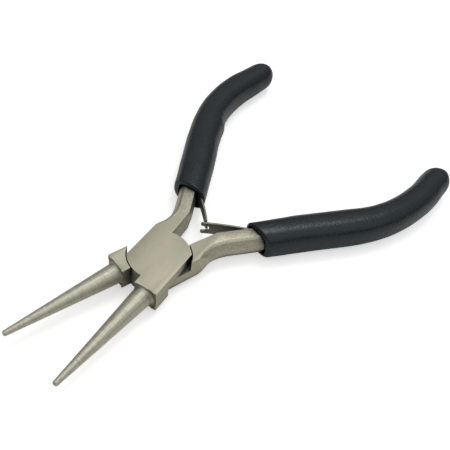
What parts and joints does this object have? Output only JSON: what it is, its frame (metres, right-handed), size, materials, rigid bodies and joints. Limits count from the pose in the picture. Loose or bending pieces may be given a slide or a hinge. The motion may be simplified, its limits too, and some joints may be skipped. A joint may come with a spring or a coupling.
{
  "type": "round nose pliers",
  "caption": "Spring-opening lap-joint pliers with conical round-nose jaws, curved handles in dark grip sleeves and hooked leaf springs, for bending jewellery wire.",
  "frame": {"origin": "where the pivot axis meets the ground outer face of the lower plate", "axes": "+Z along the pivot axis from the lower plate to the upper plate, +Y towards the handles, jaws towards -Y, +X to the lower half's handle"},
  "size_m": [0.0756, 0.1218, 0.0085],
  "materials": {
    "forged_steel": "satin ground and blasted, clear lacquered",
    "rivet_steel": "ground flush",
    "grip": "soft dark grey vinyl, leathery satin",
    "spring_steel": "dull grey tempered strip"
  },
  "bodies": {
    "lower": {"lower_half": "forged_steel", "pivot_rivet": "rivet_steel", "lower_sleeve": "grip", "fork_leaf_foot": "spring_steel", "fork_leaf_rivet": "rivet_steel"},
    "upper": {"upper_half": "forged_steel", "upper_sleeve": "grip", "tongue_leaf_foot": "spring_steel", "tongue_leaf_rivet": "rivet_steel"},
    "fork_leaf": {"fork_leaf_blade": "spring_steel"},
    "tongue_leaf": {"tongue_leaf_blade": "spring_steel"}
  },
  "joints": [
    {"name": "jaw_pivot", "type": "hinge", "parent": "lower", "child": "upper", "pos_m": [0, 0, 0.00305], "axis": [0, 0, 1], "range_deg": [-22.9, 4], "stiffness_Nm_per_rad": 0.25},
    {"name": "fork_leaf_flex", "type": "hinge", "parent": "lower", "child": "fork_leaf", "pos_m": [0.00877, 0.02334, 0.00305], "axis": [0, 0, 1], "range_deg": [-4, 21]},
    {"name": "tongue_leaf_flex", "type": "hinge", "parent": "upper", "child": "tongue_leaf", "pos_m": [-0.00904, 0.02375, 0.00305], "axis": [0, 0, 1], "range_deg": [-21, 4]}
  ],
  "couplings": [
    {"joint": "fork_leaf_flex", "follows": "jaw_pivot", "ratio": -0.906},
    {"joint": "tongue_leaf_flex", "follows": "jaw_pivot", "ratio": 0.906}
  ]
}
